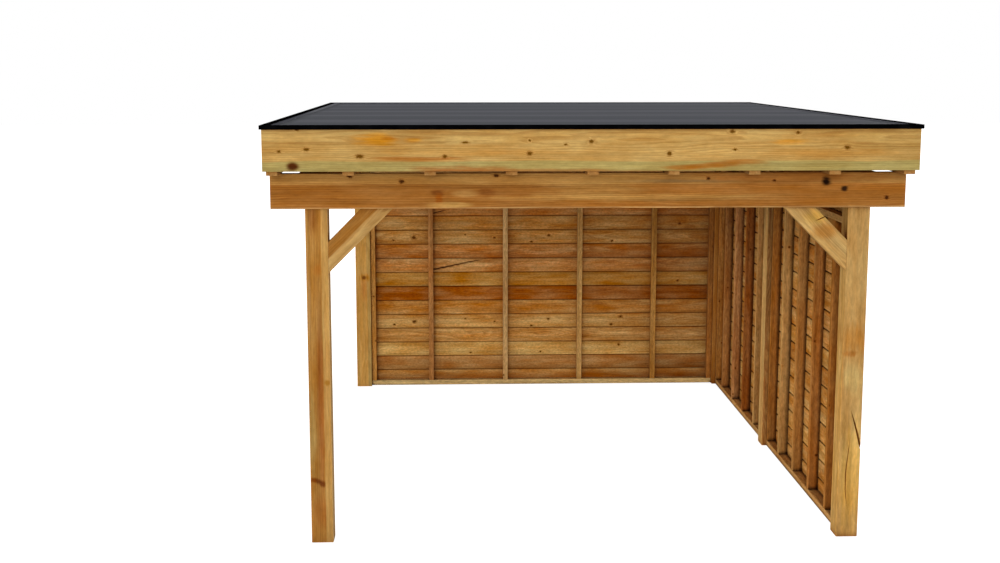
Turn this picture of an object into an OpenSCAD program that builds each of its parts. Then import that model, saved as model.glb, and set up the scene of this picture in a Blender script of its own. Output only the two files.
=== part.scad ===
// Freestanding timber veranda with a flat roof.
// Five posts carry a ring of beams, and nine rafters lie across the front and back beams.
// The back and the right side are closed by boarded wall frames; the front and the left are open.
// Millimetres. The origin is on the ground at the middle of the plan,
// +X points to the right, +Y to the back and +Z up.

/* [Frame] */
// Width over the outer faces of the posts
frame_w = 3560; // [2800:10:4400]
// Depth over the outer faces of the posts
frame_d = 4570; // [3600:10:5600]
// Height from the ground to the underside of the beams
clear_h = 2172; // [1950:1:2600]

/* [Posts and beams] */
// Side of a square post
post_s = 140; // [120:1:180]
// Thickness of a beam
beam_t = 70; // [60:1:90]
// Height of a beam
beam_h = 220; // [160:1:280]
// Depth to which a beam is let into a post
notch = 33; // [20:1:50]
// Length of a front or back beam beyond the outer face of a post
beam_overhang = 209; // [150:1:300]

/* [Braces] */
// Distance from the corner of post and beam to the far edge of a brace, along either of them
brace_reach = 410; // [320:1:600]
// Width of a brace
brace_w = 140; // [90:1:160]
// Thickness of a brace
brace_t = 70; // [45:1:90]

/* [Roof] */
// Width of a rafter
rafter_w = 70; // [45:1:90]
// Height of a rafter
rafter_h = 280; // [260:1:340]
// Distance from the outer face of a post to the face of the front or back fascia
eaves = 224; // [120:1:320]
// Thickness of a fascia board
fascia_t = 20; // [15:1:30]
// Height of a fascia board, down from the top of the rafters
fascia_h = 254; // [180:1:260]
// Thickness of the roof boarding
deck_t = 20; // [15:1:28]
// Length of the roof boarding beyond the fascia
deck_lip = 10; // [5:1:25]
// Thickness of the roof membrane
membrane_t = 3; // [2:0.5:5]

/* [Roof edge trim] */
// Thickness of the trim
trim_t = 3; // [2:0.5:5]
// Width of the flange that lies on the membrane
trim_flange = 40; // [30:1:80]

/* [Walls] */
// Distance from the inner face of a post to the inner face of a wall frame
wall_setback = 35; // [10:1:38]
// Gap between the ground and a wall
wall_lift = 5; // [3:1:30]
// Gap between the top of a wall frame and the underside of the beams
wall_gap = 89; // [10:1:300]
// Width of a stud and thickness of a plate
stud_w = 45; // [38:1:60]
// Depth of a stud or a plate, from the inside to the boards
stud_d = 70; // [50:1:72]
// Thickness of the wall boarding
board_t = 28; // [18:1:30]
// Distance between the middles of the back wall's studs
back_stud_pitch = 712; // [450:1:900]
// Distance between the side wall's studs, counted from the outer face of the front post
side_stud_pitch = 457; // [350:1:600]

/* [Hidden] */
half_w = frame_w / 2;
half_d = frame_d / 2;
inner_w = half_w - post_s;          // middle of the plan to the inner face of a side post
inner_d = half_d - post_s;          // middle of the plan to the inner face of a front or back post
beam_top = clear_h + beam_h;
beam_proud = beam_t - notch;        // how far a beam stands out of a post's face
beam_len = frame_w + 2 * beam_overhang;
roof_base = beam_top + rafter_h;    // top of the rafters and the fascia
deck_top = roof_base + deck_t;
membrane_top = deck_top + membrane_t;
roof_w = beam_len + 2 * fascia_t;   // over the faces of the side fascias
roof_d = frame_d + 2 * eaves;       // over the faces of the front and back fascias
deck_w = roof_w + 2 * deck_lip;
deck_d = roof_d + 2 * deck_lip;
trim_h = deck_t + membrane_t + trim_t;
plate_low = wall_lift + stud_w;                     // top of a bottom plate
plate_high = clear_h - wall_gap - stud_w;           // underside of a top plate
board_h = clear_h - wall_lift;
side_panel = inner_d - post_s / 2;                  // length of one side panel between its posts
spare = 20;                                         // least clear gap beside an end stud
rafter_n = 9;

post_wood = "#b8874a";
beam_wood = "#a5692d";
brace_wood = "#c39c5c";
rafter_wood = "#b58246";
fascia_wood = "#c59a58";
deck_wood = "#b98f58";
frame_wood = "#a8754a";
board_wood = "#96622c";
membrane_grey = "#515259";
trim_black = "#0c0c0e";

// A post around the point (x, y). Above the beams' underside it is cut back by the notch
// on the side that seat_x points to (-1 left, 1 right) and on the one that seat_y points to.
module post(x, y, seat_x, seat_y) {
  reach = post_s;
  color(post_wood) difference() {
    translate([x - post_s / 2, y - post_s / 2, 0]) cube([post_s, post_s, beam_top]);
    if (seat_x != 0)
      translate([x + seat_x * (post_s - notch) - reach / 2, y - reach, clear_h])
        cube([reach, 2 * reach, 2 * beam_h]);
    if (seat_y != 0)
      translate([x - reach, y + seat_y * (post_s - notch) - reach / 2, clear_h])
        cube([2 * reach, reach, 2 * beam_h]);
  }
}

module corner_post(side, end) {
  post(side * (half_w - post_s / 2), end * (half_d - post_s / 2), side, end);
}

module middle_post() {
  post(half_w - post_s / 2, 0, 1, 0);
}

// Front (end -1) or back (end 1) beam, which runs on past the posts and carries the rafters
module cross_beam(end) {
  color(beam_wood)
    translate([-beam_len / 2, end * (half_d + beam_proud - beam_t / 2) - beam_t / 2, clear_h])
      cube([beam_len, beam_t, beam_h]);
}

// Left (side -1) or right (side 1) beam, which fits between the front and back beams
module side_beam(side) {
  length = frame_d - 2 * notch;
  color(beam_wood)
    translate([side * (half_w + beam_proud - beam_t / 2) - beam_t / 2, -length / 2, clear_h])
      cube([beam_t, length, beam_h]);
}

// Outline of a brace: the corner of post and beam is at the origin, the post goes down from it
// and the beam goes along +X.
module brace_outline() {
  cut = brace_w * sqrt(2);
  polygon([
    [0, -brace_reach],
    [brace_reach, 0],
    [brace_reach - cut, 0],
    [0, cut - brace_reach]
  ]);
}

// Brace across the front, flush with the front of the post
module front_brace(side) {
  color(brace_wood)
    translate([side * inner_w, -half_d + brace_t, clear_h])
      rotate([90, 0, 0])
        mirror([side > 0 ? 0 : 1, 0, 0])
          mirror([1, 0, 0])
            linear_extrude(brace_t) brace_outline();
}

// Brace along the open left side, flush with the outside of the post
module left_brace(end) {
  color(brace_wood)
    translate([-half_w, end * inner_d, clear_h])
      rotate([90, 0, 90])
        mirror([end > 0 ? 1 : 0, 0, 0])
          linear_extrude(brace_t) brace_outline();
}

// Rafters are spread evenly over the beams; the outer two stay flush with the beams' ends
module rafter(i) {
  edge = (beam_len - rafter_w) / 2;
  even = (i - 1) * beam_len / (rafter_n - 1) - beam_len / 2;
  x = min(max(even, -edge), edge);
  length = roof_d - 2 * fascia_t;
  color(rafter_wood)
    translate([x - rafter_w / 2, -length / 2, beam_top])
      cube([rafter_w, length, rafter_h]);
}

// Front or back fascia, over the ends of the rafters and of the side fascias
module end_fascia(end) {
  color(fascia_wood)
    translate([-roof_w / 2, end * (roof_d - fascia_t) / 2 - fascia_t / 2, roof_base - fascia_h])
      cube([roof_w, fascia_t, fascia_h]);
}

module side_fascia(side) {
  length = roof_d - 2 * fascia_t;
  color(fascia_wood)
    translate([side * (roof_w - fascia_t) / 2 - fascia_t / 2, -length / 2, roof_base - fascia_h])
      cube([fascia_t, length, fascia_h]);
}

module roof_deck() {
  color(deck_wood)
    translate([-deck_w / 2, -deck_d / 2, roof_base])
      cube([deck_w, deck_d, deck_t]);
}

module roof_membrane() {
  color(membrane_grey)
    translate([-deck_w / 2, -deck_d / 2, deck_top])
      cube([deck_w, deck_d, membrane_t]);
}

// One angle of trim along an edge of the roof, mitred at both ends. It is drawn along +X with
// its face towards -Y, `length` long and `across` from the middle of the roof to its face.
module trim(length, across) {
  color(trim_black)
    intersection() {
      translate([-length / 2, -across, roof_base])
        rotate([90, 0, 90])
          linear_extrude(length)
            polygon([
              [0, 0],
              [trim_t, 0],
              [trim_t, trim_h - trim_t],
              [trim_flange, trim_h - trim_t],
              [trim_flange, trim_h],
              [0, trim_h]
            ]);
      translate([0, 0, roof_base - trim_h])
        linear_extrude(3 * trim_h)
          polygon([
            [-length / 2, -across],
            [length / 2, -across],
            [length / 2 - 2 * trim_flange, 2 * trim_flange - across],
            [2 * trim_flange - length / 2, 2 * trim_flange - across]
          ]);
    }
}

module end_trim(end) {
  rotate([0, 0, end > 0 ? 180 : 0])
    trim(deck_w + 2 * trim_t, deck_d / 2 + trim_t);
}

module side_trim(side) {
  rotate([0, 0, side > 0 ? 90 : -90])
    trim(deck_d + 2 * trim_t, deck_w / 2 + trim_t);
}

// Wall pieces are drawn along +X from the origin, with the inside of the wall towards -Y.
// The two placing modules below set them between their posts.
module wall_plate(length, z) {
  color(frame_wood)
    translate([0, 0, z])
      cube([length, stud_d, stud_w]);
}

module wall_studs(places) {
  color(frame_wood)
    for (x = places)
      translate([x, 0, plate_low])
        cube([stud_w, stud_d, plate_high - plate_low]);
}

module wall_boards(length) {
  color(board_wood)
    translate([0, stud_d, wall_lift])
      cube([length, board_t, board_h]);
}

module at_back_wall() {
  translate([-inner_w, inner_d + wall_setback, 0]) children();
}

// The side panel starts at the height `y` on the plan and runs to the back
module at_side_wall(y) {
  translate([inner_w + wall_setback, y, 0])
    mirror([1, 0, 0])
      rotate([0, 0, 90]) children();
}

// An end stud stands at each post, and the others lie on an even grid
back_length = 2 * inner_w;
back_n = floor((back_length - 4 * stud_w) / back_stud_pitch);
back_places = concat(
  [0, back_length - stud_w],
  [for (k = [1:back_n])
    (back_length - stud_w) / 2 + (k - (back_n + 1) / 2) * back_stud_pitch]
);

// The rear face of each stud lies on the grid that starts at the outside of the front post
function side_places(y) = concat(
  [0, side_panel - stud_w],
  [for (k = [1:floor(frame_d / side_stud_pitch)])
    let (x = k * side_stud_pitch - half_d - stud_w - y)
    if (x > stud_w + spare && x < side_panel - 2 * stud_w - spare) x]
);

front_panel_y = -inner_d;
back_panel_y = post_s / 2;

corner_post(-1, -1);  // post_front_left
corner_post(1, -1);  // post_front_right
middle_post();  // post_middle_right
corner_post(-1, 1);  // post_back_left
corner_post(1, 1);  // post_back_right
cross_beam(-1);  // beam_front
cross_beam(1);  // beam_back
side_beam(-1);  // beam_left
side_beam(1);  // beam_right
front_brace(-1);  // brace_front_left
front_brace(1);  // brace_front_right
left_brace(-1);  // brace_left_front
left_brace(1);  // brace_left_back
for (i = [1:rafter_n])
  rafter(i);
end_fascia(-1);  // fascia_front
end_fascia(1);  // fascia_back
side_fascia(-1);  // fascia_left
side_fascia(1);  // fascia_right
roof_deck();
roof_membrane();
end_trim(-1);  // trim_front
end_trim(1);  // trim_back
side_trim(-1);  // trim_left
side_trim(1);  // trim_right
at_back_wall() wall_plate(back_length, wall_lift);  // back_wall_bottom_plate
at_back_wall() wall_plate(back_length, plate_high);  // back_wall_top_plate
at_back_wall() wall_studs(back_places);  // back_wall_studs
at_back_wall() wall_boards(back_length);  // back_wall_boards
at_side_wall(front_panel_y) wall_plate(side_panel, wall_lift);  // side_front_bottom_plate
at_side_wall(front_panel_y) wall_plate(side_panel, plate_high);  // side_front_top_plate
at_side_wall(front_panel_y) wall_studs(side_places(front_panel_y));  // side_front_studs
at_side_wall(front_panel_y) wall_boards(side_panel);  // side_front_boards
at_side_wall(back_panel_y) wall_plate(side_panel, wall_lift);  // side_back_bottom_plate
at_side_wall(back_panel_y) wall_plate(side_panel, plate_high);  // side_back_top_plate
at_side_wall(back_panel_y) wall_studs(side_places(back_panel_y));  // side_back_studs
at_side_wall(back_panel_y) wall_boards(side_panel);  // side_back_boards
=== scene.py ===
import math
import random

import bmesh
import bpy
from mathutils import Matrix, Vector


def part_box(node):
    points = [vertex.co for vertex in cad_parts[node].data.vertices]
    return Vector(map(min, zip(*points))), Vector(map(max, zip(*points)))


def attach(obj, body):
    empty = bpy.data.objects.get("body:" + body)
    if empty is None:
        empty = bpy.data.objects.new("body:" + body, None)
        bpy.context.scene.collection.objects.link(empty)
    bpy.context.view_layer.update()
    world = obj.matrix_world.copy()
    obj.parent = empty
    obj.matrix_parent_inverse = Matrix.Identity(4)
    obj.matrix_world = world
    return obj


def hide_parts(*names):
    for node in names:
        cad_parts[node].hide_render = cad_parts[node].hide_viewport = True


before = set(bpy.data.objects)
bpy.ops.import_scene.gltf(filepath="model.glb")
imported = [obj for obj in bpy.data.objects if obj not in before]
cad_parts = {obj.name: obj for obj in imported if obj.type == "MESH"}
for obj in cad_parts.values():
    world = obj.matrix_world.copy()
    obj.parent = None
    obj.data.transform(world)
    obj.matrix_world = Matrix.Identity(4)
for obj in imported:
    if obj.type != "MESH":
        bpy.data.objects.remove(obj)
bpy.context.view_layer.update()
draw = random.Random(11)


# ------------------------------
# Posts
# Five square posts of planed softwood stand on the ground. The head of each is cut back where
# the beams are let in. Every arris is eased, and the wood has dried with a few long splits.

arris = 0.003
sharp = 0.3  # an edge that turns more than this, in radians, is eased
split_depth = 0.018
full_width = 0.003  # a split that is at least this wide has its full depth
lip_height = 0.002  # how far the cutter of a split stands out of the face
slack = 0.001  # a face this close to the shoulder lies on it


def paint(red, green, blue):
    """The linear colour of a tone that is written as three 0 to 255 screen values."""
    tones = []
    for screen in (red, green, blue):
        part = screen / 255
        tones.append(part / 12.92 if part <= 0.04045 else ((part + 0.055) / 1.055) ** 2.4)
    return (*tones, 1.0)


def prism(outline, run):
    """A solid that has the outline at one end and is as long as run."""
    solid = bmesh.new()
    near = [solid.verts.new(point) for point in outline]
    far = [solid.verts.new(Vector(point) + Vector(run)) for point in outline]
    solid.faces.new(near)
    solid.faces.new(list(reversed(far)))
    for i in range(len(near)):
        solid.faces.new((near[i - 1], far[i - 1], far[i], near[i]))
    bmesh.ops.recalc_face_normals(solid, faces=solid.faces)
    return solid


def timber(low, high):
    """A square-edged timber between two corners."""
    outline = [
        (low.x, low.y, low.z), (high.x, low.y, low.z), (high.x, high.y, low.z), (low.x, high.y, low.z),
    ]
    return prism(outline, (0, 0, high.z - low.z))


def ease(solid, size):
    """Round off the outward edges, as a planer does."""
    edges = [edge for edge in solid.edges if edge.calc_face_angle_signed(0.0) > sharp]
    bmesh.ops.bevel(
        solid, geom=edges, offset=size, segments=2, profile=0.5, affect="EDGES", clamp_overlap=True
    )


def as_object(name, solid):
    """A bare object of the solid, which is used up."""
    mesh = bpy.data.meshes.new(name)
    solid.to_mesh(mesh)
    solid.free()
    bare = bpy.data.objects.new(name, mesh)
    bpy.context.scene.collection.objects.link(bare)
    return bare


def spot(point):
    """Where a point is, to a hundredth of a millimetre."""
    return tuple(round(part, 5) for part in point.co)


def split(solid, path, inward, along, depth=split_depth):
    """The solid with a drying split in it. Its points are marked: 1 on the face and 2 at its root.

    The path has (point on the face, width there) from end to end.
    """
    layer = solid.verts.layers.int.get("split") or solid.verts.layers.int.new("split")
    known = {spot(point): point[layer] for point in solid.verts}
    inward = Vector(inward)
    sideways = Vector(along).cross(inward).normalized()
    cutter = bmesh.new()
    lips = []
    for place, width in path:
        face_point = Vector(place)
        lip = face_point - inward * lip_height
        root = face_point + inward * depth * min(1.0, width / full_width)
        half = sideways * width / 2
        lips.append([cutter.verts.new(corner) for corner in (lip - half, lip + half, root)])
    for here, there in zip(lips, lips[1:]):
        for k in range(3):
            cutter.faces.new((here[k - 1], here[k], there[k], there[k - 1]))
    cutter.faces.new(lips[0])
    cutter.faces.new(list(reversed(lips[-1])))
    bmesh.ops.recalc_face_normals(cutter, faces=cutter.faces)
    known.update({spot(lip[2]): 2 for lip in lips})

    wedge = as_object("wedge", cutter)
    body = as_object("body", solid)
    cut = body.modifiers.new("split", "BOOLEAN")
    cut.object = wedge
    cut.solver = "EXACT"
    bpy.context.view_layer.update()
    depsgraph = bpy.context.evaluated_depsgraph_get()
    mesh = bpy.data.meshes.new_from_object(body.evaluated_get(depsgraph))
    opened = bmesh.new()
    opened.from_mesh(mesh)
    for spent in (wedge, body):
        bpy.data.objects.remove(spent)
    bpy.data.meshes.remove(mesh)
    layer = opened.verts.layers.int["split"]
    for point in opened.verts:
        point[layer] = known.get(spot(point), 1)
    return opened


# The root of each split is painted dark, as painted shade in the crack.
split_root_shade = paint(52, 26, 8)
# Eased arrises are painted lighter, part wear and part painted highlight; this says how much.
edge_wear_and_highlight = 3.0


def lay_grain(solid, along, heart, tone):
    """Store at every point where it lies in the log, the timber's tone, and how far its edge is painted
    lighter, part wear and part painted highlight.

    The log's axis passes through heart and points along the timber.
    """
    grain = solid.verts.layers.float_vector.new("grain")
    colour = solid.verts.layers.float_color.new("tone")
    in_split = solid.verts.layers.int.get("split")
    along = Vector(along).normalized()
    side = Vector((0, 0, 1)) if abs(along.z) < 0.5 else Vector((0, 1, 0))
    side = (side - along * side.dot(along)).normalized()
    other = along.cross(side)
    start = draw.uniform(1.0, 25.0)  # how far up the log the timber was cut
    solid.normal_update()
    for point in solid.verts:
        away = point.co - Vector(heart)
        point[grain] = Vector((start + away.dot(along), away.dot(side), away.dot(other)))
        squareness = max(abs(point.normal.dot(axis)) for axis in (along, side, other))
        mark = point[in_split] if in_split else 0
        wear_and_highlight = 0.0 if mark else min(1.0, edge_wear_and_highlight * (1.0 - squareness))
        point[colour] = (*(split_root_shade if mark == 2 else tone)[:3], wear_and_highlight)


def new_piece(name, solid, finish):
    """An object of the solid, in its finish."""
    piece = as_object(name, solid)
    piece.data.materials.append(finish)
    return piece


class Finish:
    """A material or sky being mixed. Most methods add a node and give back that node's output."""

    def __init__(self, name, shelf=bpy.data.materials):
        self.material = shelf.new(name)
        self.material.use_nodes = True
        self.tree = self.material.node_tree
        self.shader = self.tree.nodes.get("Principled BSDF")

    def join(self, value, socket):
        """Lead a node's output to the socket, or set the socket to a plain value."""
        if isinstance(value, bpy.types.NodeSocket):
            self.tree.links.new(value, socket)
        else:
            socket.default_value = value

    def add(self, kind, inputs, **settings):
        node = self.tree.nodes.new("ShaderNode" + kind)
        for setting, value in settings.items():
            setattr(node, setting, value)
        for socket, value in inputs.items():
            self.join(value, node.inputs[socket])
        return node

    def sum(self, how, a, b=0.0, c=0.0):
        return self.add("Math", {0: a, 1: b, 2: c}, operation=how).outputs[0]

    def move(self, how, a, b=(0, 0, 0), c=(0, 0, 0)):
        return self.add("VectorMath", {0: a, 1: b, 2: c}, operation=how).outputs[0]

    def length(self, vector):
        return self.add("VectorMath", {0: vector}, operation="LENGTH").outputs["Value"]

    def grade(self, value, start, end, low=0.0, high=1.0, course="LINEAR"):
        """Low at start and before it, high at end and after it, and straight between."""
        inputs = {"Value": value, "From Min": start, "From Max": end, "To Min": low, "To Max": high}
        return self.add("MapRange", inputs, interpolation_type=course).outputs[0]

    def fade(self, *where):
        """As grade, but smooth between."""
        return self.grade(*where, course="SMOOTHSTEP")

    def cloud(self, place, scale, detail=2.0, roughness=0.5):
        """Noise with so many turns to a metre. It is a node with a Fac and a Color."""
        inputs = {"Vector": place, "Scale": scale, "Detail": detail, "Roughness": roughness}
        return self.add("TexNoise", inputs)

    def blend(self, a, b, share, how="MIX"):
        """Colour a with its share of colour b."""
        node = self.add("Mix", {0: share, 6: a, 7: b}, data_type="RGBA", blend_type=how)
        return node.outputs[2]

    def surface(self, colour, roughness, gloss, relief, strength, depth):
        """The material, with all this in its shader and the relief as a bump."""
        bump = self.add("Bump", {"Height": relief, "Strength": strength, "Distance": depth})
        inputs = self.shader.inputs
        self.join(colour, inputs["Base Color"])
        self.join(roughness, inputs["Roughness"])
        self.join(gloss, inputs["Specular IOR Level"])
        self.join(bump.outputs[0], inputs["Normal"])
        return self.material


late_wood_tint = (0.58, 0.40, 0.26, 1)
knot_rim_tint = (0.66, 0.46, 0.27, 1)
# Lightens eased arrises: part wear, part painted highlight.
wear_and_highlight_tint = (1.25, 1.2, 1.15, 1)
# The next two tints are painted shade: one darkens corners where timbers meet, one fills splits and tight
# corners.
corner_shade_tint = (0.30, 0.17, 0.09, 1)
crack_brown = (0.55, 0.26, 0.08, 1)
knot_roughness = Vector((0.022, 0, 0.016))


class Softwood(Finish):
    """Planed pine or larch, solid all through: growth rings, streaks, knots and fibre."""

    ring = 0.0045  # the growth of a year
    ring_depth = 0.5  # this and the other depths say how strongly each thing shows
    streak_depth = 0.5
    mottle_depth = 0.2
    fleck_depth = 0.14
    fleck_length = 50  # in millimetres
    warmth = 0.35  # how far the hue drifts
    wander = 0.09  # how far the heart of the log strays
    knots = 1.0  # the size of the knots that come by chance, or 0 for none
    known_knots = ()  # (x, z, half length, half height) of each knot in a known place
    knot_tone = paint(84, 46, 2)
    corner_shade = 0.5  # how strongly painted shade darkens the corners
    corner_shade_reach = 0.10
    black_corners = None  # how open a corner is where its painted black shade starts, and where it is full
    black_reach = 0.03
    black = (0.04, 0.015, 0.005, 1)

    def __init__(self, name, **traits):
        super().__init__(name)
        self.grain = self.add("Attribute", {}, attribute_name="grain").outputs["Vector"]
        self.place = self.add("TexCoord", {}).outputs["Object"]
        tone = self.add("Attribute", {}, attribute_name="tone")
        self.colour = tone.outputs["Color"]
        self.wear_and_highlight = tone.outputs["Alpha"]
        for trait, value in traits.items():
            setattr(self, trait, value)

    def wisps(self, along, across, detail=2.0, roughness=0.5):
        """Noise that follows the grain, with so many turns to a metre along it and across it."""
        place = self.move("MULTIPLY", self.grain, (along, across, across))
        return self.cloud(place, 1.0, detail, roughness).outputs

    def vary(self, noise, depth, spread=0.22):
        """A factor from 1 - depth to 1 + depth, within the spread to both sides of the middle."""
        return self.grade(noise, 0.5 - spread, 0.5 + spread, 1.0 - depth, 1.0 + depth)

    def openness(self, reach):
        """1 in the open, and less in a corner that other timbers close within the reach."""
        return self.add("AmbientOcclusion", {"Distance": reach}, samples=4).outputs["AO"]

    def oval(self, near, x, z, length, height, shift=0.0):
        """How far a place is from the oval around (x, z), where 0 is its middle and 1 its edge."""
        centre = (-x / length - shift, 0, -z / height - shift)
        return self.length(self.move("MULTIPLY_ADD", near, (1 / length, 0, 1 / height), centre))

    def patch(self, x, z, length, height, tint, strength=0.7, ragged=1.0, how="MIX"):
        """A soft-edged area of another tone on the faces that look to the front or the back.

        It reaches about its length and its height to each side of (x, z).
        """
        near = self.place
        if ragged:
            frayed = (ragged * length, 0, ragged * height)
            near = self.move("MULTIPLY_ADD", self.wisps(6, 50)["Color"], frayed, self.place)
        off_centre = self.oval(near, x, z, length, height, ragged / 2)
        share = self.fade(off_centre, 1.1, 0.3, 0.0, strength)
        self.colour = self.blend(self.colour, tint, share, how)

    def patches(self, *rows):
        """Several patches, from a row of values for each."""
        for row in rows:
            self.patch(*row)

    def band(self, across, edge, softness, wave, tint, strength=0.7, how="MIX"):
        """Another tone beyond a wavy line along the timber, on the side that across points to."""
        bend = self.cloud(self.move("MULTIPLY", self.place, (1.6, 1.6, 1.6)), 1.0, 1.5).outputs["Fac"]
        beyond = self.add("VectorMath", {0: self.place, 1: across}, operation="DOT_PRODUCT")
        bend = self.sum("SUBTRACT", bend, 0.5)
        beyond = self.sum("MULTIPLY_ADD", bend, wave, beyond.outputs["Value"])
        share = self.fade(beyond, edge - softness, edge + softness, 0.0, strength)
        self.colour = self.blend(self.colour, tint, share, how)

    def finish(self):
        """Grow the rings, knots and fibre into the tone, and join all to the shader."""
        # The heart of a log wanders, so the rings come out as long flames on a flat face.
        drift = self.wisps(0.9, 2.0, 2.0, 0.45)["Color"]
        stray = Vector((0, self.wander, self.wander))
        drift = self.move("MULTIPLY_ADD", drift, stray, -stray / 2)
        around = self.move("MULTIPLY_ADD", self.grain, (0, 1, 1), drift)
        radius = self.length(around)

        # Branches run outward from the heart, about six to a metre. Each point has its distance to
        # the nearest one, in radii of the knot. It starts at 9, which is nowhere near a knot.
        branch = 9.0
        if self.knots:
            outward = {0: self.move("NORMALIZE", around), "Scale": 0.7}
            outward = self.add("VectorMath", outward, operation="SCALE").outputs[0]
            branches = self.move("MULTIPLY_ADD", self.grain, (6.5, 0, 0), outward)
            branch = self.add("TexVoronoi", {"Vector": branches, "Scale": 1.0}, voronoi_dimensions="3D")
            branch = self.sum("DIVIDE", branch.outputs["Distance"], self.knots * 0.14)
        if self.known_knots:
            rough = self.cloud(self.place, 85.0, 2.0, 0.6).outputs["Color"]
            near = self.move("MULTIPLY_ADD", rough, knot_roughness, self.place)
            near = self.move("SUBTRACT", near, knot_roughness / 2)
            for known in self.known_knots:
                branch = self.sum("MINIMUM", branch, self.oval(near, *known))
        knot = self.fade(branch, 1.25, 0.5)
        knot_rim = self.fade(branch, 1.8, 1.0)
        swell = self.fade(branch, 3.0, 0.6)

        # Rings: pale early wood, then a thin dark line of late wood. They bend around the knots.
        radius = self.sum("MULTIPLY_ADD", swell, 0.006, radius)
        uneven = self.wisps(1.5, 26)["Fac"]
        age = self.sum("MULTIPLY_ADD", uneven, 2.6, self.sum("DIVIDE", radius, self.ring))
        year = self.sum("FRACT", age)
        late = self.sum("MULTIPLY", self.fade(year, 0.2, 0.82), self.fade(year, 1.0, 0.93))
        late = self.sum("MULTIPLY", late, self.ring_depth)

        # Streaks as wide as a finger, short flecks, drifts of warmer and duller wood, and fine fibre.
        streak = self.wisps(0.8, 30, 3.0, 0.6)["Fac"]
        mottle = self.wisps(2.6, 13, 2.0, 0.6)["Fac"]
        fleck = self.wisps(1000 / self.fleck_length, 75, 2.0, 0.7)["Fac"]
        fibre = self.wisps(14, 620, 2.0, 0.6)["Fac"]
        hue = self.grade(mottle, 0.28, 0.72, 0.5 - 0.012 * self.warmth, 0.5 + 0.028 * self.warmth)
        saturation = self.grade(mottle, 0.28, 0.72, 1.0 + 0.12 * self.warmth, 1.0 - 0.16 * self.warmth)
        value = self.vary(streak, 0.5 * self.streak_depth)
        value = self.sum("MULTIPLY", value, self.vary(mottle, 0.5 * self.mottle_depth))
        value = self.sum("MULTIPLY", value, self.vary(fleck, self.fleck_depth, 0.25))
        value = self.sum("MULTIPLY", value, self.vary(fibre, 0.07, 0.3))
        inputs = {"Hue": hue, "Saturation": saturation, "Value": value, "Color": self.colour}
        colour = self.add("HueSaturation", inputs).outputs[0]
        colour = self.blend(colour, late_wood_tint, late, "MULTIPLY")
        colour = self.blend(colour, knot_rim_tint, self.sum("MULTIPLY", knot_rim, 0.55), "MULTIPLY")
        colour = self.blend(colour, self.knot_tone, self.sum("MULTIPLY", knot, 0.95))
        # Eased arrises are painted lighter, part wear and part painted highlight.
        colour = self.blend(colour, wear_and_highlight_tint, self.sum("MULTIPLY", self.wear_and_highlight, 0.5), "MULTIPLY")

        # Painted shade darkens the wood where timbers meet, and in some finishes the tightest corners and
        # joints are painted near black as shade.
        share = self.grade(self.openness(self.corner_shade_reach), 0.95, 0.25, 0.0, self.corner_shade)
        colour = self.blend(colour, corner_shade_tint, share, "MULTIPLY")
        if self.black_corners:
            share = self.fade(self.openness(self.black_reach), *self.black_corners, 0.0, 0.96)
            colour = self.blend(colour, self.black, share, "MULTIPLY")
        rough = self.grade(fibre, 0.2, 0.8, 0.62, 0.8)
        relief = self.sum("SUBTRACT", self.sum("MULTIPLY_ADD", late, 0.6, fibre), knot)
        return self.surface(colour, rough, 0.03, relief, 0.5, 0.0006)


honey = paint(176, 121, 54)
straw = paint(189, 146, 85)
sapwood = paint(196, 154, 92)
olive_sap = paint(176, 140, 78)
fox = paint(186, 112, 44)

# A band that starts this far under a face tints that face alone.
skin = 0.0015
right_side_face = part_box("post_front_left")[1].x
left_side_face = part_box("post_front_right")[0].x
middle_front_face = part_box("post_middle_right")[0].y

corner_post = Softwood(
    "wall_post_wood", ring=0.006, streak_depth=0.4, knots=0.5, corner_shade=0.8, corner_shade_reach=0.2
)

middle_post = Softwood("middle_right_post_wood", ring=0.006, streak_depth=0.8, fleck_depth=0.3, knots=0.3)
# The front face of this post is painted darker, as painted shade inside the wall.
middle_post.band((0, -1, 0), -middle_front_face - skin, 0.001, 0.0, paint(166, 110, 54), 0.7)

left_post = Softwood("front_left_post_wood", ring=0.006, ring_depth=0.3, wander=0.03, knots=0.0)
left_post.patches(
    (-1.704, 0.94, 0.028, 0.780, paint(152, 86, 36), 0.85, 0.5),
    (-1.735, 2.10, 0.040, 0.120, paint(146, 90, 42), 0.7),
    (-1.762, 0.75, 0.028, 0.40, olive_sap, 0.8),
    (-1.768, 1.60, 0.018, 0.40, paint(186, 140, 84), 0.7),
    (-1.705, 1.785, 0.030, 0.050, fox, 0.5),
    (-1.756, 0.420, 0.036, 0.022, paint(132, 68, 20), 0.9, 0.5),
    (-1.726, 0.408, 0.034, 0.022, paint(122, 58, 14), 0.85, 0.5),
    (-1.700, 0.394, 0.032, 0.028, paint(114, 52, 10), 0.95, 0.5),
    (-1.720, 0.20, 0.070, 0.140, paint(170, 104, 42), 0.8),
)
left_post.band((1, 0, 0), -1.684, 0.001, 0.008, paint(194, 147, 80), 0.95)
left_post.patch(-1.661, 1.058, 0.024, 0.026, paint(160, 104, 24), 0.9, 0.4)
# The right side face is painted pale, as painted light on a face the lamps leave in shade.
left_post.band((1, 0, 0), right_side_face - skin, 0.0005, 0.0, paint(246, 206, 140), 0.9)

# The splits and tight corners of this post and of its brace are painted deep brown, as painted shade.
brown_split_shade = {"black_corners": (0.60, 0.42), "black_reach": 0.10, "black": crack_brown}
right_post = Softwood(
    "front_right_post_wood", ring=0.006, ring_depth=0.3, streak_depth=0.4, fleck_depth=0.2,
    wander=0.05, knots=0.0, **brown_split_shade
)
right_post.band((1, 0, 0), 1.700, 0.015, 0.10, sapwood, 0.6)
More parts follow.
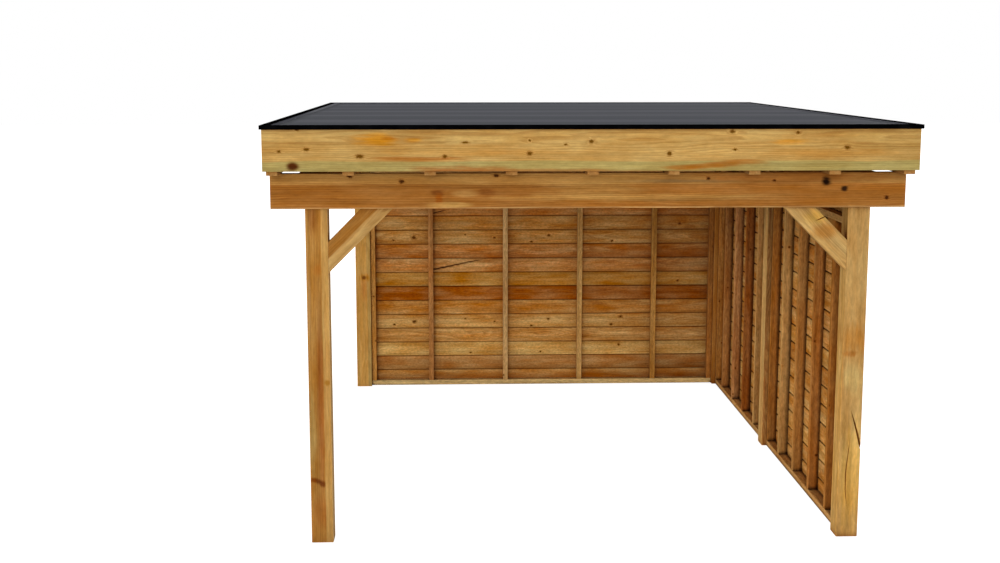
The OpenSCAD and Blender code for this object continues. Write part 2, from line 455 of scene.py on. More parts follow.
# The inner side face is painted paler, as painted light on that face.
right_post.band((-1, 0, 0), -left_side_face - skin, 0.0005, 0.0, paint(204, 158, 88), 0.9)
right_post.patches(
    (1.725, 0.400, 0.100, 0.440, paint(218, 166, 80), 0.8),
    (1.668, 0.560, 0.030, 0.380, olive_sap, 0.4),
    (1.715, 1.320, 0.110, 0.130, paint(184, 122, 50), 0.75),
    (1.695, 1.225, 0.060, 0.026, paint(172, 104, 40), 0.7),
    (1.715, 1.060, 0.080, 0.130, paint(204, 172, 108), 0.9),
)

back_post = Softwood(
    "back_left_post_wood", ring=0.006, ring_depth=0.25, streak_depth=0.3, knots=0.0, corner_shade=0.25
)
back_post.band((1, 0, 0), -1.672, 0.004, 0.03, olive_sap, 0.8)
back_post.patches(
    (-1.705, 0.950, 0.040, 0.160, fox, 0.6),
    (-1.697, 1.059, 0.060, 0.050, paint(184, 116, 26), 0.9),
    (-1.697, 1.059, 0.030, 0.026, paint(116, 60, 8), 1.0),
)

# Each post's tone, how far the heart of its log lies from its middle, and its finish.
post_plan = {
    "post_front_left": (honey, (0.06, 0.09), left_post.finish()),
    "post_front_right": (straw, (0.10, -0.02), right_post.finish()),
    "post_middle_right": (sapwood, (-0.03, 0.05), middle_post.finish()),
    "post_back_left": (paint(196, 145, 72), (0.02, 0.08), back_post.finish()),
    "post_back_right": (paint(188, 126, 54), (0.05, -0.07), corner_post.finish()),
}

# The depth of each split in a front face, and its x, z and width from end to end.
shallow = 0.007
post_splits = {
    "post_front_left": [
        (split_depth, [(-1.762, 0.422, 0.0008), (-1.730, 0.412, 0.005), (-1.694, 0.390, 0.0008)]),
    ],
    "post_front_right": [
        (split_depth, [
            (1.708, 0.850, 0.001), (1.734, 0.768, 0.012), (1.757, 0.690, 0.017), (1.781, 0.592, 0.018),
        ]),
        (shallow, [
            (1.711, 0.690, 0.001), (1.700, 0.560, 0.007), (1.689, 0.434, 0.010), (1.690, 0.320, 0.010),
            (1.704, 0.206, 0.001),
        ]),
    ],
}

# The heads stand up inside the ring of beams.
beam_front_low, beam_front_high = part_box("beam_front")
shoulder = beam_front_low.z
head_low = Vector((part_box("beam_left")[1].x, beam_front_high.y))
head_high = Vector((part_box("beam_right")[0].x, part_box("beam_back")[0].y))

for node, (tone, heart_offset, finish) in post_plan.items():
    low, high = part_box(node)
    solid = timber(low, Vector((high.x, high.y, shoulder)))
    for k, normal in ((0, (1, 0, 0)), (1, (0, 1, 0))):
        for edge in (head_low[k], head_high[k]):
            if low[k] < edge < high[k]:
                geometry = solid.verts[:] + solid.edges[:] + solid.faces[:]
                cut = Vector(normal) * edge
                bmesh.ops.bisect_plane(solid, geom=geometry, plane_co=cut, plane_no=normal)
    head = []
    for face in solid.faces:
        x, y, z = face.calc_center_median()
        if z > shoulder - slack and head_low.x < x < head_high.x and head_low.y < y < head_high.y:
            head.append(face)
    for point in bmesh.ops.extrude_face_region(solid, geom=head)["geom"]:
        if isinstance(point, bmesh.types.BMVert):
            point.co.z = high.z
    bmesh.ops.dissolve_limit(solid, angle_limit=0.01, verts=solid.verts, edges=solid.edges)
    ease(solid, arris)
    for depth, path in post_splits.get(node, ()):
        path = [((x, low.y, z), width) for x, z, width in path]
        solid = split(solid, path, (0, 1, 0), (0, 0, 1), depth)
    heart = (low + high) / 2 + Vector((*heart_offset, 0))
    lay_grain(solid, (0, 0, 1), heart, tone)
    piece = new_piece(node.replace("post", "square_post"), solid, finish)
    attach(piece, "root")
    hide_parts(node)


# ------------------------------
# Beams
# Four planed beams on edge make a ring. The front and back ones run on past the posts and carry
# the rafters, and the side ones fit between them. All are let into the posts.

amber = paint(165, 106, 44)
beam_pale = paint(184, 140, 74)
beam_bottom_edge = 0.010  # the strip along the foot of the front beam is painted paler, part wear and part painted highlight on its lower arris
beam_knots = (
    (-1.495, 2.374, 0.016, 0.010), (-1.175, 2.342, 0.016, 0.013), (-0.585, 2.378, 0.018, 0.010),
    (0.740, 2.355, 0.014, 0.010), (1.155, 2.342, 0.010, 0.008), (1.870, 2.233, 0.014, 0.013),
)
front_beam = Softwood(
    "front_beam_wood", ring=0.009, ring_depth=0.45, warmth=0.2, wander=0.03,
    knots=0.0, known_knots=beam_knots, knot_tone=paint(60, 26, 0)
)
front_beam.band((0, 0, 1), 2.322, 0.006, 0.02, beam_pale, 0.55)
# The foot of the front beam is painted paler, part wear and part painted highlight.
front_beam.band((0, 0, -1), -shoulder - beam_bottom_edge, 0.004, 0.0, paint(206, 160, 100), 0.6)
front_beam.patches(
    (1.300, 2.365, 0.900, 0.060, paint(166, 106, 48), 0.8),
    (0.300, 2.240, 1.100, 0.030, beam_pale, 0.6),
    (0.500, 2.340, 0.450, 0.012, paint(120, 96, 62), 0.6),
    (-0.952, 2.272, 0.060, 0.034, paint(132, 70, 18), 0.9),
    (-0.944, 2.225, 0.030, 0.060, paint(158, 84, 18), 0.95),
    (-0.640, 2.272, 0.070, 0.034, paint(138, 78, 26), 0.85),
    (-0.870, 2.198, 0.200, 0.026, paint(200, 154, 84), 0.8),
    (-0.780, 2.265, 0.090, 0.030, paint(196, 146, 80), 0.7),
    (1.485, 2.335, 0.040, 0.036, paint(30, 12, 2), 1.0),
    (1.600, 2.290, 0.030, 0.026, paint(50, 28, 10), 1.0),
    (0.050, 2.300, 0.400, 0.100, beam_pale, 0.5),
)
front_beam_finish = front_beam.finish()
beam_finish = Softwood("beam_wood", ring=0.006, streak_depth=0.45, knots=0.9).finish()
beam_hearts = {
    "beam_front": (0, 0.09, -0.16),
    "beam_back": (0, -0.09, 0.03),
    "beam_left": (0.08, 0, 0.03),
    "beam_right": (-0.08, 0, 0.03),
}

for node, heart_offset in beam_hearts.items():
    low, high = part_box(node)
    solid = timber(low, high)
    ease(solid, arris)
    size = high - low
    along = Vector((1, 0, 0)) if size.x > size.y else Vector((0, 1, 0))
    lay_grain(solid, along, (low + high) / 2 + Vector(heart_offset), amber)
    finish = front_beam_finish if node == "beam_front" else beam_finish
    piece = new_piece(node.replace("beam", "ring_beam"), solid, finish)
    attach(piece, "root")
    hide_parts(node)


# ------------------------------
# Braces
# Short planks at 45 degrees stiffen the two front corners and the open left side. Both ends are
# mitred, one against the post and one under the beam.

brace_width = 0.140
brace_brown = paint(162, 108, 46)
brace_finish = Softwood("brace_wood", ring=0.005, ring_depth=0.4, streak_depth=0.4, knots=0.4).finish()
left_brace = Softwood(
    "left_brace_wood", ring=0.005, ring_depth=0.3, streak_depth=0.3, wander=0.05, knots=0.0
)
left_brace.band((math.sqrt(0.5), 0, -math.sqrt(0.5)), -2.470, 0.005, 0.03, sapwood, 0.85)
# Its split and tight corners are painted deep brown, as painted shade.
right_brace = Softwood("right_brace_wood", ring=0.005, ring_depth=0.3, knots=0.0, **brown_split_shade)
right_brace.patch(1.440, 2.110, 0.100, 0.060, paint(212, 164, 76), 0.7)
right_brace.patch(1.500, 2.020, 0.120, 0.060, paint(180, 116, 44), 0.8)
brace_split = [
    (1.430, 2.083, 0.0008), (1.465, 2.096, 0.008), (1.490, 2.108, 0.007), (1.515, 2.112, 0.0008),
]
brace_finishes = {
    "brace_front_left": left_brace.finish(),
    "brace_front_right": right_brace.finish(),
}

for node in ("brace_front_left", "brace_front_right", "brace_left_front", "brace_left_back"):
    low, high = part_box(node)
    size = high - low
    cut = brace_width * math.sqrt(2)
    reach = size.z
    if "brace_front" in node:
        run = Vector((0, size.y, 0))
        away = Vector((1, 0, 0)) if node.endswith("left") else Vector((-1, 0, 0))
        corner = Vector((low.x if away.x > 0 else high.x, low.y, high.z))
    else:
        run = Vector((size.x, 0, 0))
        away = Vector((0, 1, 0)) if node.endswith("front") else Vector((0, -1, 0))
        corner = Vector((low.x, low.y if away.y > 0 else high.y, high.z))
    down = Vector((0, 0, -1))
    outline = [corner + down * reach, corner + away * reach]
    outline += [corner + away * (reach - cut), corner + down * (reach - cut)]
    solid = prism(outline, run)
    ease(solid, arris)
    if node == "brace_front_right":
        path = [((x, low.y, z), width) for x, z, width in brace_split]
        solid = split(solid, path, (0, 1, 0), (1, 0, 0.4))
    heart = corner + away * reach * 0.45 + down * reach * 0.45 + run * 1.6
    lay_grain(solid, away - down, heart, sapwood if node == "brace_front_right" else brace_brown)
    finish = brace_finishes.get(node, brace_finish)
    piece = new_piece(node.replace("brace", "corner_brace"), solid, finish)
    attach(piece, "root")
    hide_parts(node)


# ------------------------------
# Rafters
# Nine planed rafters on edge lie from front to back over the front and back beams, and stand out
# past both as eaves. They are nailed down to the beams and carry the roof boarding.

rafter_finish = Softwood("rafter_wood", ring=0.005, ring_depth=0.4, streak_depth=0.4, knots=0.9).finish()
rafter_tone = paint(178, 128, 70)

for k in range(1, 10):
    low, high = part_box(f"rafter_{k}")
    solid = timber(low, high)
    ease(solid, arris)
    heart = (low + high) / 2 + Vector((draw.uniform(0.03, 0.1), 0, draw.uniform(-0.08, 0.08)))
    lay_grain(solid, (0, 1, 0), heart, rafter_tone)
    piece = new_piece(f"roof_rafter_{k}", solid, rafter_finish)
    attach(piece, "root")
    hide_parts(f"rafter_{k}")


# ------------------------------
# Wall frames
# Each wall has a bottom plate, a top plate and studs of sawn batten, nailed into a ladder that
# stands between two posts.

batten_arris = 0.0015
batten_look = {
    "ring": 0.005, "ring_depth": 0.45, "streak_depth": 0.6, "fleck_depth": 0.35, "fleck_length": 45,
    "knots": 0.4,
}
# The tight corners of the frames are painted black, as painted shade.
side_frame_finish = Softwood("side_frame_wood", black_corners=(0.84, 0.68), **batten_look).finish()
back_frame_finish = Softwood("back_frame_wood", black_corners=(0.68, 0.52), **batten_look).finish()
# The first stud of the back wall is painted paler, as painted light where the back left post shades it.
stud_tones = {
    "back_wall": (
        (206, 144, 68), (176, 120, 66), (204, 164, 108), (194, 150, 88), (174, 122, 56), (166, 108, 50),
    ),
    "side_front": (
        (176, 109, 52), (174, 111, 46), (180, 117, 54), (186, 131, 68), (192, 146, 84), (166, 107, 44),
    ),
    "side_back": (
        (176, 120, 62), (194, 146, 84), (152, 90, 38), (182, 126, 74), (168, 114, 60), (178, 118, 52),
    ),
}
plate_tones = {"back_wall_bottom_plate": (222, 192, 130)}
plate_tone = (198, 150, 88)


def loose_parts(node):
    """The boxes of a node's separate timbers, in order along the wall."""
    low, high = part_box(node)
    k = 0 if high.x - low.x > high.y - low.y else 1
    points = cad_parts[node].data.vertices
    cuts = sorted({round(point.co[k], 5) for point in points})
    boxes = []
    for near, far in zip(cuts[::2], cuts[1::2]):
        box = (Vector(low), Vector(high))
        box[0][k] = near
        box[1][k] = far
        boxes.append(box)
    return boxes


def append(pile, solid):
    """Add a finished solid to a pile of them."""
    mesh = bpy.data.meshes.new("timber")
    solid.to_mesh(mesh)
    solid.free()
    pile.from_mesh(mesh)
    bpy.data.meshes.remove(mesh)


for wall in ("back_wall", "side_front", "side_back"):
    finish = back_frame_finish if wall == "back_wall" else side_frame_finish
    for part in ("bottom_plate", "top_plate", "studs"):
        node = f"{wall}_{part}"
        pile = bmesh.new()
        for k, (low, high) in enumerate(loose_parts(node)):
            solid = timber(low, high)
            ease(solid, batten_arris)
            size = high - low
            along = max(((size.x, (1, 0, 0)), (size.y, (0, 1, 0)), (size.z, (0, 0, 1))))[1]
            heart = (low + high) / 2 + Vector([draw.uniform(-0.06, 0.06) for _ in range(3)])
            tone = stud_tones[wall][k] if part == "studs" else plate_tones.get(node, plate_tone)
            lay_grain(solid, along, heart, paint(*tone))
            append(pile, solid)
        piece = new_piece(node.replace("_studs", "_uprights").replace("_plate", "_rail"), pile, finish)
        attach(piece, "root")
        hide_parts(node)


# ------------------------------
# Wall boards
# Tongued and grooved boards lie level, each with its groove over the tongue of the one below,
# and are nailed to the outside of the studs. Their edges are chamfered, so each joint is a V.

board_cover = 0.1357
board_gap = 0.0015
chamfer = 0.007
tongue = 0.009
tongue_t = 0.008
groove_t = 0.009
groove_room = 0.001
joint_reach = 0.0005  # a point this close to a board's edge lies in the joint

board_tones = {
    "dark brown": paint(167, 93, 29),
    "tobacco": paint(174, 102, 43),
    "red brown": paint(203, 136, 70),
    "walnut": paint(163, 110, 55),
    "dull tan": paint(190, 134, 76),
    "mid tan": paint(197, 139, 71),
    "amber": paint(194, 132, 63),
    "olive": paint(190, 132, 57),
    "tan": paint(200, 143, 76),
    "straw tan": paint(203, 152, 84),
    "pale tan": paint(209, 160, 88),
}
# The tones of each board at its lower and its upper edge, from the lowest board up.
board_plan = (
    ("dark brown", "mid tan"), ("walnut", "dull tan"), ("pale tan", "pale tan"), ("tan", "tan"),
    ("straw tan", "mid tan"), ("amber", "amber"), ("dark brown", "dark brown"), ("olive", "olive"),
    ("red brown", "dull tan"), ("tobacco", "red brown"), ("tan", "mid tan"), ("mid tan", "amber"),
    ("red brown", "tobacco"), ("tan", "straw tan"), ("olive", "amber"), ("pale tan", "tan"),
)
side_wall_tone = paint(206, 142, 70)
side_wall_calm = 0.6  # how far the boards of the side walls come to that one tone
# The inner faces of the side walls are painted darker, and the roots of the V joints darker still, as
# painted shade; these are the factors.
inner_face_painted_shade = {"back_wall": 1.0, "side_front": 0.93, "side_back": 0.78}
inner_joint_painted_shade = {"back_wall": 0.62, "side_front": 0.12, "side_back": 0.12}
outer_joint_painted_shade = 0.62
board_splits = {
    8: [
        (-1.043, 1.117, 0.012), (-0.900, 1.148, 0.010), (-0.700, 1.190, 0.007), (-0.530, 1.219, 0.0008),
    ],
    12: [(-1.043, 1.659, 0.011), (-0.980, 1.674, 0.009), (-0.905, 1.692, 0.0008)],
}
# Two boards of one log lie six boards apart, so these knots come twice.
wall_knots = []
for x, z, length in (
    (-1.422, 0.584, 0.013), (-1.230, 0.612, 0.021), (-0.739, 0.638, 0.009), (-0.459, 0.607, 0.011),
    (-0.104, 0.567, 0.014), (0.061, 0.630, 0.015), (0.669, 0.573, 0.015),
):
    wall_knots += [(x, z, length, 0.7 * length), (x, z + 6 * board_cover, length, 0.7 * length)]
wall_knots += [
    (0.761, 0.649, 0.014, 0.012), (0.745, 0.373, 0.013, 0.012), (1.316, 1.551, 0.013, 0.010),
    (1.308, 0.998, 0.012, 0.009), (-0.013, 0.309, 0.012, 0.008), (-0.691, 0.304, 0.012, 0.008),
]
board_look = {
    "ring": 0.006, "ring_depth": 0.45, "streak_depth": 0.45, "mottle_depth": 0.35, "warmth": 0.7,
}
back_boards = Softwood(
    "back_board_wood", fleck_depth=0.3, fleck_length=25, knots=0.0, known_knots=wall_knots,
    corner_shade=0.7, corner_shade_reach=0.2, **board_look
)
# The right end of the back wall is painted darker, as painted shade near the closed corner.
back_boards.band((1, 0, 0), 0.800, 0.500, 0.1, (0.80, 0.77, 0.77, 1), 1.0, "MULTIPLY")
# A wide area left of the middle is painted lighter, as painted light where the front left post and its
# brace shade the wall.
back_boards.patch(-0.450, 1.200, 0.900, 1.800, (1.09, 1.09, 1.09, 1), 1.0, 0, "MULTIPLY")
# Dark patches lie along the lips of the long split in the ninth board, darkest at its wide end.
for k in range(7):
    x = -1.015 + 0.065 * k
    z = 1.123 + 0.0136 * k
    back_boards.patch(x, z, 0.052, 0.013, paint(100, 54, 18), 0.95 - 0.08 * k, 0)
back_board_finish = back_boards.finish()
# The boards of the side walls are painted black where they meet the studs, as painted shade.
side_board_finish = Softwood(
    "side_board_wood", fleck_depth=0.35, fleck_length=35, knots=0.5, corner_shade=0.6,
    black_corners=(0.76, 0.61), **board_look
).finish()


def board_outline(bottom, top, inner, outer, has_groove, has_tongue):
    """The end of a board as (depth, height) points."""
    middle = (inner + outer) / 2
    outline = [(inner, bottom + chamfer), (inner + chamfer, bottom)]
    if has_groove:
        near = middle - groove_t / 2
        far = middle + groove_t / 2
        roof = bottom + tongue + groove_room
        outline += [(near, bottom), (near, roof), (far, roof), (far, bottom)]
    outline += [(outer - chamfer, bottom), (outer, bottom + chamfer)]
    outline += [(outer, top - chamfer), (outer - chamfer, top)]
    if has_tongue:
        near = middle - tongue_t / 2
        far = middle + tongue_t / 2
        tip = top + tongue
        outline += [(far, top), (far, tip), (near, tip), (near, top)]
    outline += [(inner + chamfer, top), (inner, top - chamfer)]
    return outline


for wall in ("back_wall", "side_front", "side_back"):
    low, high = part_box(f"{wall}_boards")
    size = high - low
    level = size.x > size.y
    count = math.ceil(size.z / board_cover)
    pile = bmesh.new()
    for k in range(count):
        bottom = low.z + k * board_cover
        top = min(bottom + board_cover - board_gap, high.z)
        depths = (low.y, high.y) if level else (low.x, high.x)
        outline = board_outline(bottom, top, *depths, k > 0, k < count - 1)
        if level:
            solid = prism([(low.x, depth, z) for depth, z in outline], (size.x, 0, 0))
        else:
            solid = prism([(depth, low.y, z) for depth, z in outline], (0, size.y, 0))
        if wall == "back_wall" and k in board_splits:
            path = [((x, low.y, z), width) for x, z, width in board_splits[k]]
            solid = split(solid, path, (0, 1, 0), (1, 0, 0.2))
        heart = Vector(((low.x + high.x) / 2, (low.y + high.y) / 2, (bottom + top) / 2))
        off = draw.choice((-1, 1)) * draw.uniform(0.02, 0.12)
        rise = draw.uniform(-0.05, 0.05)
        heart += Vector((0, off, rise)) if level else Vector((off, 0, rise))
        lay_grain(solid, (1, 0, 0) if level else (0, 1, 0), heart, board_tones["amber"])
        colour = solid.verts.layers.float_color["tone"]
        in_split = solid.verts.layers.int.get("split")
        lower, upper = [Vector(board_tones[tone]) for tone in board_plan[k]]
        if not level:
            lower = lower.lerp(Vector(side_wall_tone), side_wall_calm)
            upper = upper.lerp(Vector(side_wall_tone), side_wall_calm)
        for point in solid.verts:
            if in_split and point[in_split] == 2:
                continue
            height = min(1.0, max(0.0, (point.co.z - bottom) / (top - bottom)))
            in_joint = not bottom + joint_reach <= point.co.z <= top - joint_reach
            tone = lower.lerp(upper, height)
            # Inner faces and joint roots are painted darker here, as painted shade.
            inside = (point.co.y if level else point.co.x) < depths[0] + 2 * chamfer
            if inside:
                tone = tone * inner_face_painted_shade[wall]
            if in_joint:
                tone = tone * (inner_joint_painted_shade[wall] if inside else outer_joint_painted_shade)
            point[colour] = (*tone[:3], 0.0)
        append(pile, solid)
    piece = new_piece(f"{wall}_cladding", pile, back_board_finish if level else side_board_finish)
    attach(piece, "root")
    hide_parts(f"{wall}_boards")


# ------------------------------
# Roof boarding
# Thin planed boards of the same softwood lie across the rafters and are nailed to each of them.
# They are chamfered on their underside, so each joint shows as a V from below.

deck_finish = Softwood("deck_wood", ring=0.004, ring_depth=0.4, streak_depth=0.4, knots=0.8).finish()
deck_tone = paint(186, 142, 84)
deck_low, deck_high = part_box("roof_deck")
deck_count = 44
deck_cover = (deck_high.y - deck_low.y) / deck_count
deck_chamfer = 0.003
pile = bmesh.new()
for k in range(deck_count):
    near = deck_low.y + k * deck_cover + (board_gap if k else 0)
    far = deck_low.y + (k + 1) * deck_cover
    outline = [
        (deck_low.x, near, deck_high.z), (deck_low.x, near, deck_low.z + deck_chamfer),
        (deck_low.x, near + deck_chamfer, deck_low.z), (deck_low.x, far - deck_chamfer, deck_low.z),
        (deck_low.x, far, deck_low.z + deck_chamfer), (deck_low.x, far, deck_high.z),
    ]
    solid = prism(outline, (deck_high.x - deck_low.x, 0, 0))
    off = draw.uniform(-0.05, 0.05)
    heart = Vector((0, (near + far) / 2 + off, deck_low.z + draw.uniform(-0.12, -0.03)))
    tone = [part * draw.uniform(0.88, 1.08) for part in deck_tone]
    lay_grain(solid, (1, 0, 0), heart, tone)
    append(pile, solid)
piece = new_piece("roof_boarding", pile, deck_finish)
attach(piece, "root")
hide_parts("roof_deck")


# ------------------------------
# Fascias
# Four wide planed boards close the edges of the roof. The front and back ones cover the ends of
# the rafters and of the side ones.

fascia_arris = 0.002
fascia_tone = paint(194, 152, 85)
fascia_olive = paint(172, 157, 94)
fascia_orange = paint(214, 146, 42)
fascia_knots = (
    (-1.794, 2.669, 0.011, 0.006), (-1.740, 2.553, 0.016, 0.010), (-1.905, 2.541, 0.014, 0.007),
    (-1.420, 2.510, 0.024, 0.012), (-0.905, 2.509, 0.014, 0.009), (-0.780, 2.593, 0.018, 0.006),
    (-0.390, 2.526, 0.016, 0.012), (-0.390, 2.604, 0.008, 0.006), (-0.170, 2.580, 0.010, 0.006),
    (-0.015, 2.597, 0.016, 0.012), (0.463, 2.524, 0.014, 0.014), (0.845, 2.656, 0.016, 0.010),
    (0.865, 2.547, 0.012, 0.008), (1.250, 2.650, 0.012, 0.009), (1.555, 2.558, 0.016, 0.012),
)
front_fascia = Softwood(
    "front_fascia_wood", ring=0.008, ring_depth=0.4, streak_depth=0.32, wander=0.04,
    knots=0.0, known_knots=fascia_knots, knot_tone=paint(98, 60, 2)
)
front_fascia.band((0, 0, -1), -2.478, 0.004, 0.035, fascia_olive, 0.8)
front_fascia.patches(
    (-1.320, 2.612, 0.160, 0.050, fascia_orange, 0.95),
    (-1.240, 2.618, 0.060, 0.014, paint(196, 120, 30), 0.8),
    (-1.100, 2.606, 0.070, 0.020, fascia_orange, 0.7),
    (1.200, 2.594, 0.160, 0.022, fascia_orange, 0.8),
    (-1.050, 2.494, 0.380, 0.018, paint(180, 112, 44), 0.8),
    (-0.800, 2.410, 0.440, 0.052, paint(160, 92, 36), 1.0),
    (-0.400, 2.414, 0.800, 0.026, paint(170, 112, 54), 0.8),
)
for k in range(4):
    front_fascia.patch(0.56 + 0.12 * k, 2.436 + 0.012 * k, 0.160, 0.020, paint(174, 104, 32), 0.7)
front_fascia.patches(
    (-1.825, 2.450, 0.050, 0.036, paint(106, 56, 14), 0.95, 0.3),
    (-1.825, 2.450, 0.040, 0.028, paint(78, 32, 2), 0.9, 0.3),
    (-0.700, 2.530, 0.600, 0.030, paint(198, 142, 66), 0.5),
    (1.500, 2.520, 0.500, 0.040, paint(196, 140, 66), 0.5),
)
front_fascia.band((1, 0, 0), 1.200, 0.500, 0.1, (0.92, 0.92, 0.90, 1), 1.0, "MULTIPLY")
front_fascia_finish = front_fascia.finish()
fascia_finish = Softwood("fascia_wood", ring=0.006, streak_depth=0.3, knots=0.6).finish()

for node in ("fascia_front", "fascia_back", "fascia_left", "fascia_right"):
    low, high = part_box(node)
    solid = timber(low, high)
    ease(solid, fascia_arris)
    size = high - low
    if size.x > size.y:
        along = (1, 0, 0)
        heart = (low + high) / 2 + Vector((0, 0.09 if node == "fascia_front" else -0.09, 0.07))
    else:
        along = (0, 1, 0)
        heart = (low + high) / 2 + Vector((0.07 if node == "fascia_left" else -0.07, 0, 0.01))
    lay_grain(solid, along, heart, fascia_tone)
    finish = front_fascia_finish if node == "fascia_front" else fascia_finish
    piece = new_piece(node.replace("fascia", "edge_fascia"), solid, finish)
    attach(piece, "root")
    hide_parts(node)


# ------------------------------
# Roof membrane
# One sheet of matt dark grey rubber is glued to the roof boarding. It lies a little uneven, and
# a strip of the same sheet is bonded on along every edge.

sheet_low, sheet_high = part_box("roof_membrane")
strip_width = 0.10
strip_t = 0.0006
strip_lap = 0.0005
strip_edge = 0.002
sheet_sink = 0.0008
sheet_swell = 0.0004

# Lighter and darker bands of painted sheen run across the sheet, and a painted shadow lies along the
# inner edge of the strips.
sheet = Finish("rubber_sheet")
place = sheet.add("TexCoord", {}).outputs["Object"]
stain = sheet.cloud(sheet.move("MULTIPLY", place, (0.15, 1.8, 1.0)), 1.0, 3.0, 0.55).outputs["Fac"]
speck = sheet.cloud(place, 350.0, 2.0).outputs["Fac"]
colour = sheet.blend(paint(47, 49, 56), paint(70, 71, 79), sheet.grade(stain, 0.3, 0.7))
across = sheet.add("SeparateXYZ", {0: place}).outputs[1]
# Bands of painted sheen, lighter and darker.
sheen_bands = sheet.sum("SINE", sheet.sum("MULTIPLY_ADD", across, 7.0, sheet.sum("MULTIPLY", stain, 9.0)))
colour = sheet.blend(colour, paint(44, 52, 57), sheet.fade(sheen_bands, 0.0, 1.0, 0.0, 0.35))
colour = sheet.blend(colour, paint(90, 88, 97), sheet.fade(sheen_bands, 0.0, -1.0, 0.0, 0.35))
beyond = sheet.move("SUBTRACT", sheet.move("ABSOLUTE", place), (sheet_high.x, sheet_high.y, 0))
beyond = sheet.add("SeparateXYZ", {0: beyond}).outputs
inward = sheet.sum("MULTIPLY", sheet.sum("MAXIMUM", beyond[0], beyond[1]), -1.0)
on_strip = sheet.fade(inward, strip_width, strip_width - strip_edge, 0.0, 0.7)
colour = sheet.blend(colour, paint(80, 80, 86), on_strip)
# A painted shadow lies just inside the inner edge of each strip.
past_strip = sheet.fade(inward, strip_width - strip_edge, strip_width)
lap_shadow = sheet.sum("MULTIPLY", past_strip, sheet.fade(inward, 0.16, 0.11))
colour = sheet.blend(colour, paint(38, 40, 46), sheet.sum("MULTIPLY", lap_shadow, 0.7))
colour = sheet.blend(colour, paint(96, 98, 100), sheet.fade(speck, 0.62, 0.8, 0.0, 0.25))
rough = sheet.grade(stain, 0.3, 0.7, 0.55, 0.72)
sheet_finish = sheet.surface(colour, rough, 0.02, speck, 0.25, 0.0004)

pile = bmesh.new()
steps_x = 60
steps_y = 75
top = {}
for i in range(steps_x + 1):
    for j in range(steps_y + 1):
        x = sheet_low.x + (sheet_high.x - sheet_low.x) * i / steps_x
        y = sheet_low.y + (sheet_high.y - sheet_low.y) * j / steps_y
        dip = sheet_swell * (math.sin(x * 3.1 + y * 1.7) + math.sin(x * 1.3 - y * 4.3))
        z = sheet_high.z - strip_t - sheet_sink + dip
        top[i, j] = pile.verts.new((x, y, z))
for i in range(steps_x):
    for j in range(steps_y):
        pile.faces.new((top[i, j], top[i + 1, j], top[i + 1, j + 1], top[i, j + 1]))
rim = [edge for edge in pile.edges if edge.is_boundary]
skirt = bmesh.ops.extrude_edge_only(pile, edges=rim)["geom"]
for point in skirt:
    if isinstance(point, bmesh.types.BMVert):
        point.co.z = sheet_low.z
bmesh.ops.contextual_create(pile, geom=[edge for edge in pile.edges if edge.is_boundary])
bmesh.ops.recalc_face_normals(pile, faces=pile.faces)
from_y = sheet_low.y + strip_width
to_y = sheet_high.y - strip_width
strips = (
    ((sheet_low.x, sheet_low.y), (sheet_high.x, from_y)),
    ((sheet_low.x, to_y), (sheet_high.x, sheet_high.y)),
    ((sheet_low.x, from_y), (sheet_low.x + strip_width, to_y)),
    ((sheet_high.x - strip_width, from_y), (sheet_high.x, to_y)),
)
for near, far in strips:
    append(pile, timber(Vector((*near, sheet_low.z + strip_lap)), Vector((*far, sheet_high.z))))
piece = new_piece("rubber_sheet", pile, sheet_finish)
for face in piece.data.polygons:
    face.use_smooth = abs(face.normal.z) > 0.99
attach(piece, "root")
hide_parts("roof_membrane")


# ------------------------------
# Roof edge trim
# Black coated aluminium angle is fixed down over the edge of the membrane and covers the edge of
# the roof boarding. The four lengths are mitred at the corners.

trim_t = 0.002
trim_flange = 0.055
flange_t = 0.003
flange_chamfer = 0.001
nose_radius = 0.002
nose_middle = 0.3 * nose_radius  # how far in the middle of the rounded nose lies
coat = Finish("black_coat")
place = coat.add("TexCoord", {}).outputs["Object"]
dust = coat.cloud(place, 9.0, 4.0, 0.6).outputs["Fac"]
peel = coat.cloud(place, 900.0, 2.0).outputs["Fac"]
colour = coat.blend(paint(4, 4, 5), paint(12, 12, 13), coat.fade(dust, 0.45, 0.75))
rough = coat.grade(dust, 0.3, 0.7, 0.42, 0.55)
coat_finish = coat.surface(colour, rough, 0.0, peel, 0.2, 0.0002)

for node in ("trim_front", "trim_back", "trim_left", "trim_right"):
    low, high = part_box(node)
    profile = [
        (0, low.z), (trim_t, low.z), (trim_t, high.z - flange_t), (trim_flange, high.z - flange_t),
        (trim_flange, high.z - flange_chamfer), (trim_flange - flange_chamfer, high.z),
        (nose_radius, high.z), (nose_middle, high.z - nose_middle), (0, high.z - nose_radius),
    ]
    solid = bmesh.new()
    ends = []
    for end in (0, 1):
        ring = []
        for inward, z in profile:
            if node in ("trim_front", "trim_back"):
                x = low.x + inward if end == 0 else high.x - inward
                y = low.y + inward if node == "trim_front" else high.y - inward
            else:
                y = low.y + inward if end == 0 else high.y - inward
                x = low.x + inward if node == "trim_left" else high.x - inward
            ring.append(solid.verts.new((x, y, z)))
        ends.append(ring)
    for k in range(len(profile)):
        solid.faces.new((ends[0][k - 1], ends[0][k], ends[1][k], ends[1][k - 1]))
    solid.faces.new(ends[0])
    solid.faces.new(list(reversed(ends[1])))
    bmesh.ops.recalc_face_normals(solid, faces=solid.faces)
    piece = new_piece(node.replace("trim", "edge_trim"), solid, coat_finish)
    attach(piece, "root")
    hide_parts(node)


# ------------------------------
# Floor and light
# A plain pale floor and an even white sky. Soft lamps stand low around the building: one in front,
# a little to the left, one square on to the open left side, and one behind the closed corner.

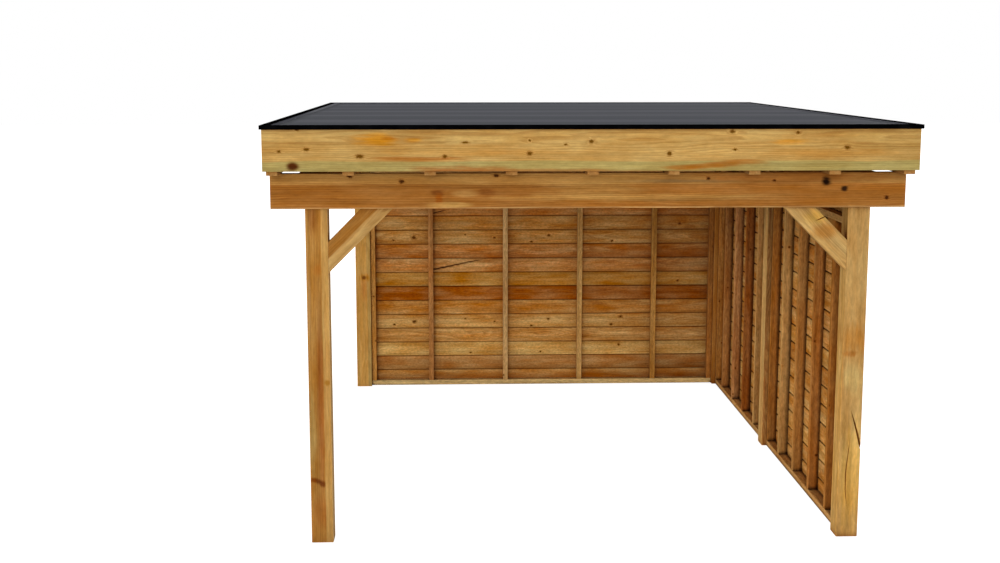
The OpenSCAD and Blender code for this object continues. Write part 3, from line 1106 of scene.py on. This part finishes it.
floor_size = 60.0
floor_glow = 0.9
sky_strength = 0.52
lamp_height = 4.0  # degrees above the horizon
lamp_spread = 32.0
lamps = {
    "front_lamp": (2.05, -9.0),
    "left_lamp": (2.15, -90.0),
    "back_lamp": (2.6, 133.0),
}

floor_mesh = bpy.data.meshes.new("floor")
corners = [(x * floor_size, y * floor_size, 0) for x, y in ((-1, -1), (1, -1), (1, 1), (-1, 1))]
floor_mesh.from_pydata(corners, [], [(0, 1, 2, 3)])
floor = bpy.data.objects.new("floor", floor_mesh)
bpy.context.scene.collection.objects.link(floor)
ground = Finish("pale_floor")
ground.shader.inputs["Base Color"].default_value = (0.75, 0.75, 0.75, 1)
ground.shader.inputs["Roughness"].default_value = 0.9
ground.shader.inputs["Specular IOR Level"].default_value = 0.0
seen = ground.add("LightPath", {}).outputs["Is Camera Ray"]
glow = ground.sum("MULTIPLY", seen, floor_glow)
white = ground.add("Emission", {"Color": (1, 1, 1, 1), "Strength": glow})
both = ground.add("AddShader", {0: ground.shader.outputs[0], 1: white.outputs[0]})
ground.join(both.outputs[0], ground.tree.nodes["Material Output"].inputs["Surface"])
floor_mesh.materials.append(ground.material)

sky = Finish("sky", bpy.data.worlds)
bpy.context.scene.world = sky.material
soft = sky.tree.nodes["Background"]
sky.join((1, 1, 1, 1), soft.inputs["Color"])
sky.join(sky_strength, soft.inputs["Strength"])
plain = sky.add("Background", {"Color": (1, 1, 1, 1), "Strength": 1.0})
rays = sky.add("LightPath", {}).outputs
direct = rays["Is Camera Ray"]
for kind in ("Is Glossy Ray", "Is Transmission Ray"):
    direct = sky.sum("MAXIMUM", direct, rays[kind])
choice = sky.add("MixShader", {0: direct, 1: soft.outputs[0], 2: plain.outputs[0]})
sky.join(choice.outputs[0], sky.tree.nodes["World Output"].inputs["Surface"])

for name, (strength, bearing) in lamps.items():
    light = bpy.data.lights.new(name, "SUN")
    light.energy = strength
    light.angle = math.radians(lamp_spread)
    lamp = bpy.data.objects.new(name, light)
    lamp.rotation_euler = (math.radians(90 - lamp_height), 0, math.radians(bearing))
    bpy.context.scene.collection.objects.link(lamp)


# ------------------------------
# Camera
# It stands well out in front of the open side, left of the middle and a little above the roof,
# and looks slightly down and to the right.

camera_tilt = 8.866
camera_turn = 1.974
camera_data = bpy.data.cameras.new("camera")
camera_data.sensor_width = 36.0
camera_data.lens = 50.21
camera = bpy.data.objects.new("camera", camera_data)
camera.location = (-0.862, -10.981, 3.0625)
camera.rotation_euler = (math.radians(90 - camera_tilt), 0, math.radians(-camera_turn))
bpy.context.scene.collection.objects.link(camera)
bpy.context.scene.camera = camera
bpy.context.scene.view_settings.view_transform = "Standard"
